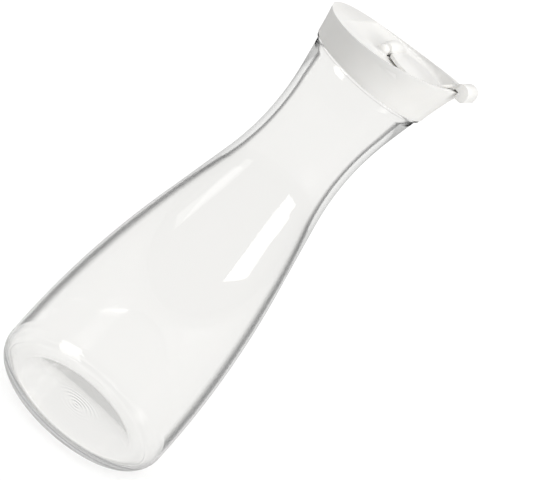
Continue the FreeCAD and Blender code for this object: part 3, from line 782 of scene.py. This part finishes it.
    def build(self, lathe: Lathe) -> bpy.types.Object:
        """Turn the bottle and put it in place of its CAD node.

        Args:
            lathe: the turning tree.

        Returns:
            The finished piece.
        """
        material = self.finish.make("clear_outside")
        mesh = lathe.turn("bottle_wall", self.outside() + self.inside(), self.segments, material)
        mesh.materials.clear()
        mesh.materials.append(material)
        mesh.materials.append(self.painted_shade_finish.make("clear_painted_shade"))
        # the hollow's wall and the collar band take the second finish, with its strong painted edge
        # shade
        for face in mesh.polygons:
            face.material_index = int(self.has_painted_shade(face))
        shade(mesh, self.crisp_degrees)
        piece = link_mesh("bottle_wall", mesh)
        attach(piece, Body.PITCHER.value)
        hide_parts("bottle")
        return piece


@dataclass
class Recess:
    """The soft inner corner of the lid: the deck runs up into its wall and spout without a crease."""

    deck: float = 250.9 * MM
    side_place: float = 1.7 * MM
    side_radius: float = 35.64 * MM
    side_draft: float = 3.0
    ramp_place: float = -15.9 * MM
    ramp_radius: float = 46.0 * MM
    ramp_draft: float = 36.5
    rim_place: float = -33.45 * MM
    rim_radius: float = 255.0 * MM
    rim_drop: float = 0.25 * MM
    rim_round: float = 0.45 * MM
    blend: float = 5.0 * MM
    corner: float = 2.7 * MM
    lap: float = 0.6 * MM
    skin: float = 0.04 * MM
    least: float = 0.02 * MM
    corner_share: float = 0.8
    round_share: float = 0.15
    brow_drop: float = 0.015 * MM
    outer_drop: float = 0.03 * MM
    end_degrees: float = 60.0
    end_height: float = 0.05 * MM
    end_tries: int = 40
    rim_tries: int = 20
    corner_steps: int = 10
    wall_steps: int = 8
    round_steps: int = 5
    stations: int = 260

    def circles(self, turn: float, height: float) -> tuple[float, float]:
        """How far the side wall and the ramp lie from the axis.

        Args:
            turn: the direction, as an angle from the spout.
            height: the height above the deck.

        Returns:
            The distance to the side wall and the distance to the ramp.
        """
        found = []
        for place, radius, draft in ((self.side_place, self.side_radius, self.side_draft),
                                     (self.ramp_place, self.ramp_radius, self.ramp_draft)):
            wide = radius + height * math.tan(math.radians(draft))
            found.append(place * math.cos(turn) + math.sqrt(wide ** 2 - (place * math.sin(turn)) ** 2))
        return found[0], found[1]

    def wall(self, turn: float, height: float) -> float:
        """Distance of the blended wall from the axis.

        Args:
            turn: the direction.
            height: the height above the deck.

        Returns:
            The distance, a little inside both the side wall and the ramp.
        """
        side, ramp = self.circles(turn, height)
        near = max(self.blend - abs(side - ramp), 0.0) / self.blend
        return min(side, ramp) - near ** 2 * self.blend / 4 - self.skin

    def rim(self, turn: float, reach: float) -> float:
        """Height of the rim's top above the deck, at a distance from the axis."""
        along = reach * math.cos(turn) - self.rim_place
        return self.rim_radius - math.sqrt(self.rim_radius ** 2 - along ** 2) - self.rim_drop

    def top(self, turn: float) -> float:
        """Height above the deck at which the wall meets the rim.

        Args:
            turn: the direction.

        Returns:
            The height, negative where the rim lies lower than the deck.
        """
        height = 0.0
        for _ in range(self.rim_tries):
            height = self.rim(turn, self.wall(turn, max(height, 0.0)))
        return height

    def section(self, turn: float) -> list[Point]:
        """Outline of the corner's filling in one direction.

        Args:
            turn: the direction.

        Returns:
            (distance, height above the deck) points of a closed outline.
        """
        high = max(self.top(turn), self.least)
        soft = min(self.corner, self.corner_share * high)
        edge = min(self.rim_round, self.round_share * high)
        foot = self.wall(turn, 0.0)
        lean = self.wall(turn, soft) - foot
        rise = soft * soft / math.hypot(soft, lean)
        start, end = (foot - soft, -self.least), (self.wall(turn, rise), rise)
        points = [(foot - soft, -self.lap / 2)]
        for step in range(self.corner_steps + 1):
            share = step / self.corner_steps
            weights = ((1 - share) ** 2, 2 * share * (1 - share), share ** 2)
            points.append(tuple(weights[0] * start[axis] + weights[1] * (foot, 0.0)[axis]
                                + weights[2] * end[axis] for axis in (0, 1)))
        for step in range(1, self.wall_steps + 1):
            height = rise + (high - edge - rise) * step / self.wall_steps
            points.append((self.wall(turn, height), height))
        brow = points[-1][0]
        for step in range(1, self.round_steps + 1):
            angle = math.radians(90 / self.round_steps * step)
            reach = brow + edge * (1 - math.cos(angle))
            height = self.rim(turn, reach) - edge * (1 - math.sin(angle)) - self.brow_drop
            points.append((reach, height))
        outer = min(self.circles(turn, high)) + min(self.lap, high)
        points.append((outer, self.rim(turn, outer) - self.outer_drop))
        points.append((min(self.circles(turn, 0.0)) + min(self.lap, high), -self.lap / 2))
        return points

    def mesh(self) -> bpy.types.Mesh:
        """Make the filling as a closed strip from one low end of the wall round to the other.

        Returns:
            The mesh.
        """
        low, high = math.radians(self.end_degrees), math.pi
        for _ in range(self.end_tries):
            middle = (low + high) / 2
            low, high = (middle, high) if self.top(middle) > self.end_height else (low, middle)
        sections = []
        for station in range(self.stations + 1):
            turn = low * (2 * station / self.stations - 1)
            sections.append([(reach * math.cos(turn), reach * math.sin(turn), self.deck + height)
                             for reach, height in self.section(turn)])
        return closed_strip("recess_corner", sections)


@dataclass
class EarFoot:
    """The soft foot that blends a round hinge ear into the deck, on the side away from the barrel."""

    side: int
    place: float = -0.29 * MM
    offset: float = 12.6 * MM
    deck: float = 250.9 * MM
    radius: float = 3.02 * MM
    height: float = 1.4 * MM
    reach: float = 1.2 * MM
    depth: float = 0.3 * MM
    core: float = 2.4 * MM
    spread_degrees: float = 105.0
    least: float = 0.02 * MM
    steps: int = 8
    stations: int = 48

    def mesh(self) -> bpy.types.Mesh:
        """Make the foot as a closed strip round the ear.

        Returns:
            The mesh.
        """
        sections = []
        for station in range(self.stations + 1):
            share = 2 * station / self.stations - 1
            turn = math.radians(90 * self.side + self.spread_degrees * share)
            reach = max(self.reach * (1 - share ** 4), self.least)
            outline = [(self.core, -self.depth), (self.radius + reach, -self.depth)]
            for step in range(self.steps + 1):
                part = step / self.steps
                outline.append((self.radius + reach * (1 - part) ** 2, self.height * part ** 2))
            outline.append((self.core, self.height))
            sections.append([(self.place + far * math.cos(turn),
                              self.side * self.offset + far * math.sin(turn), self.deck + up)
                             for far, up in outline])
        return closed_strip("ear_foot", sections)


@dataclass
class Moulding:
    """A moulded piece with softened edges, made from the merged faces of its CAD node."""

    name: str
    node: str
    body: Body
    slot: Slot
    edge: float
    finish: WhitePlastic | SoftRubber
    fillets: tuple[Recess | EarFoot, ...] = ()
    flat_degrees: float = 0.6
    bevel_degrees: float = 30.0
    bevel_segments: int = 3
    crisp_degrees: float = 40.0

    def merged(self, source: bpy.types.Object) -> bpy.types.Object:
        """Copy the node, join its loose triangles and dissolve flat faces.

        Args:
            source: the CAD node's object.

        Returns:
            The copy.
        """
        bm = bmesh.new()
        bm.from_mesh(source.data)
        bmesh.ops.remove_doubles(bm, verts=bm.verts, dist=JOIN_DISTANCE)
        bmesh.ops.dissolve_limit(bm, angle_limit=math.radians(self.flat_degrees), verts=bm.verts,
                                 edges=bm.edges)
        mesh = bpy.data.meshes.new(self.name)
        bm.to_mesh(mesh)
        bm.free()
        return link_mesh(self.name, mesh)

    def build(self, source: bpy.types.Object) -> bpy.types.Object:
        """Soften the edges, dress the piece and put it in place of its node.

        Args:
            source: the CAD node's object.

        Returns:
            The finished piece.
        """
        item = self.merged(source)
        soften = item.modifiers.new("soften", "BEVEL")
        soften.width = self.edge
        soften.segments = self.bevel_segments
        soften.limit_method = "ANGLE"
        soften.angle_limit = math.radians(self.bevel_degrees)
        soften.miter_outer = "MITER_ARC"
        mesh = bake_modifiers(item, self.name)
        for fillet in self.fillets:
            add_shell(mesh, fillet.mesh())
        mesh.materials.clear()
        mesh.materials.append(self.finish.make(f"{self.name}_finish"))
        shade(mesh, self.crisp_degrees)
        piece = link_mesh(self.name, mesh)
        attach(piece, self.body.value)
        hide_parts(self.node)
        return piece


# ---------------------------------------------------------------- studio


@dataclass(frozen=True)
class Softbox:
    """A soft lamp: where it stands, what it points at, its size and its power."""

    name: str
    place: Place
    aim: Place
    width: float
    height: float
    watts: float

    def build(self) -> None:
        """Add the lamp."""
        lamp = bpy.data.lights.new(self.name, "AREA")
        lamp.shape = "RECTANGLE"
        lamp.size = self.width
        lamp.size_y = self.height
        lamp.energy = self.watts
        item = bpy.data.objects.new(self.name, lamp)
        item.location = self.place
        way = Vector(self.aim) - Vector(self.place)
        item.rotation_euler = way.to_track_quat("-Z", "Y").to_euler()
        bpy.context.scene.collection.objects.link(item)


@dataclass
class Studio:
    """Plain pale floor, soft lamps, a grey room and the camera."""

    floor_reach: float = 3.0
    floor_sides: int = 64
    floor_level: float = -0.3 * MM
    floor_rough: float = 0.9
    floor_colour: Colour = (0.62, 0.62, 0.615)
    lift_near: float = 0.36
    lift_far: float = 0.7
    lift_reach: Point = (0.2, 1.4)
    glass_view: float = 0.985
    glass_share: float = 0.85
    room_low: float = 0.35
    room_high: float = 0.8
    room_span: Point = (0.05, 0.8)
    glass_room: float = 0.72
    eye: Place = (0.2784, -1.1276, 0.5007)
    target: Place = (0.01834, 0.00453, 0.1406)
    roll_degrees: float = 41.984
    lens: float = 160.43
    sensor: float = 36.0
    sight: float = 20.0
    lamps: tuple[Softbox, ...] = (
        Softbox("lamp_top", (0.1, -0.2, 1.5), (0.0, 0.0, 0.15), 1.2, 1.2, 5.6),
        Softbox("lamp_left", (-1.3, -0.7, 0.7), (0.0, 0.0, 0.12), 0.5, 1.1, 2.2),
        Softbox("lamp_right", (1.3, -0.5, 0.7), (0.0, 0.0, 0.12), 0.8, 1.0, 11.5),
    )

    def floor(self) -> None:
        """Lay the floor: pale under the lamps, lifted to the backdrop's white where it is seen."""
        mesh = bpy.data.meshes.new("floor")
        ring = arc_points((0.0, 0.0), self.floor_reach, 0, 360, self.floor_sides)[:-1]
        mesh.from_pydata([(*point, self.floor_level) for point in ring], [], [list(range(len(ring)))])
        item = link_mesh("floor", mesh)
        material = bpy.data.materials.new("floor_pale")
        material.use_nodes = True
        nodes = NodeTree(material.node_tree)
        shader = material.node_tree.nodes["Principled BSDF"]
        preset(shader, {"Base Color": self.floor_colour, "Roughness": self.floor_rough,
                        "Specular IOR Level": 0.0})
        ray = nodes.add("ShaderNodeLightPath")
        away = nodes.add("ShaderNodeVectorMath", operation="LENGTH")
        nodes.link(nodes.add("ShaderNodeTexCoord").outputs["Object"], away.inputs[0])
        span = nodes.add("ShaderNodeMapRange")
        preset(span, {"From Min": self.lift_reach[0], "From Max": self.lift_reach[1],
                      "To Min": self.lift_near, "To Max": self.lift_far})
        nodes.link(away.outputs["Value"], span.inputs["Value"])
        lift = nodes.add("ShaderNodeMath", operation="MULTIPLY")
        nodes.link(ray.outputs["Is Camera Ray"], lift.inputs[0])
        nodes.link(span.outputs["Result"], lift.inputs[1])
        glow = nodes.add("ShaderNodeEmission")
        nodes.link(lift.outputs["Value"], glow.inputs["Strength"])
        seen = nodes.add("ShaderNodeAddShader")
        nodes.link(shader.outputs["BSDF"], seen.inputs[0])
        nodes.link(glow.outputs["Emission"], seen.inputs[1])
        share = nodes.add("ShaderNodeMath", operation="MULTIPLY")
        nodes.link(ray.outputs["Is Transmission Ray"], share.inputs[0])
        share.inputs[1].default_value = self.glass_share
        through = nodes.add("ShaderNodeEmission")
        preset(through, {"Strength": self.glass_view})
        surface = nodes.blend(share.outputs["Value"], seen.outputs["Shader"],
                              through.outputs["Emission"])
        nodes.link(surface, material.node_tree.nodes["Material Output"].inputs["Surface"])
        mesh.materials.append(material)

    def room(self) -> None:
        """Fill the world: white to the eye, pale through the bottle, brighter overhead than low down."""
        world = bpy.data.worlds.new("room")
        bpy.context.scene.world = world
        world.use_nodes = True
        nodes = NodeTree(world.node_tree)
        back = world.node_tree.nodes["Background"]
        place = nodes.add("ShaderNodeTexCoord").outputs["Generated"]
        split = nodes.add("ShaderNodeSeparateXYZ")
        nodes.link(place, split.inputs["Vector"])
        span = nodes.add("ShaderNodeMapRange", interpolation_type="SMOOTHSTEP")
        preset(span, {"From Min": self.room_span[0], "From Max": self.room_span[1],
                      "To Min": self.room_low, "To Max": self.room_high})
        nodes.link(split.outputs["Z"], span.inputs["Value"])
        ray = nodes.add("ShaderNodeLightPath")
        behind = nodes.add("ShaderNodeMath", operation="MULTIPLY")
        nodes.link(ray.outputs["Is Transmission Ray"], behind.inputs[0])
        behind.inputs[1].default_value = self.glass_room
        strength = span.outputs["Result"]
        for least in (ray.outputs["Is Camera Ray"], behind.outputs["Value"]):
            brighter = nodes.add("ShaderNodeMath", operation="MAXIMUM")
            nodes.link(strength, brighter.inputs[0])
            nodes.link(least, brighter.inputs[1])
            strength = brighter.outputs["Value"]
        preset(back, {"Color": (1.0, 1.0, 1.0)})
        nodes.link(strength, back.inputs["Strength"])

    def camera(self) -> None:
        """Stand the camera, turned about its own line of sight."""
        lens = bpy.data.cameras.new("view")
        lens.sensor_width = self.sensor
        lens.lens = self.lens
        lens.clip_end = self.sight
        item = bpy.data.objects.new("view", lens)
        bpy.context.scene.collection.objects.link(item)
        ahead = (Vector(self.target) - Vector(self.eye)).normalized()
        right = ahead.cross(Vector((0.0, 0.0, 1.0))).normalized()
        up = right.cross(ahead)
        turn = math.radians(self.roll_degrees)
        across = right * math.cos(turn) + up * math.sin(turn)
        above = up * math.cos(turn) - right * math.sin(turn)
        pose = Matrix((across, above, -ahead)).transposed().to_4x4()
        pose.translation = Vector(self.eye)
        item.matrix_world = pose
        bpy.context.scene.camera = item

    def build(self) -> None:
        """Set up everything round the pitcher."""
        self.floor()
        self.room()
        for lamp in self.lamps:
            lamp.build()
        self.camera()
        bpy.context.scene.view_settings.view_transform = "Standard"


def main() -> None:
    """Build the studio and every piece, and log each piece's face count."""
    logging.basicConfig(level=logging.INFO, format="%(name)s: %(message)s")
    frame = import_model()
    Studio().build()
    white, soft = WhitePlastic(), SoftRubber()
    pieces = [Bottle().build(Lathe("turn_about_axis"))]
    fillets = (Recess(), EarFoot(-1), EarFoot(1))
    for moulding in (
        Moulding("lid_shell", "lid", Body.PITCHER, Slot.WHITE_LID, 0.35 * MM, white, fillets),
        Moulding("flap_leaf", "flap", Body.FLAP, Slot.WHITE_FLAP, 0.35 * MM, white),
        Moulding("stopper_plug", "stopper", Body.FLAP, Slot.SOFT_STOPPER, 0.3 * MM, soft),
    ):
        pieces.append(moulding.build(frame["nodes"][moulding.node]))
    for piece in pieces:
        LOG.info("%s: %d faces", piece.name, len(piece.data.polygons))


if __name__ == "__main__":
    main()
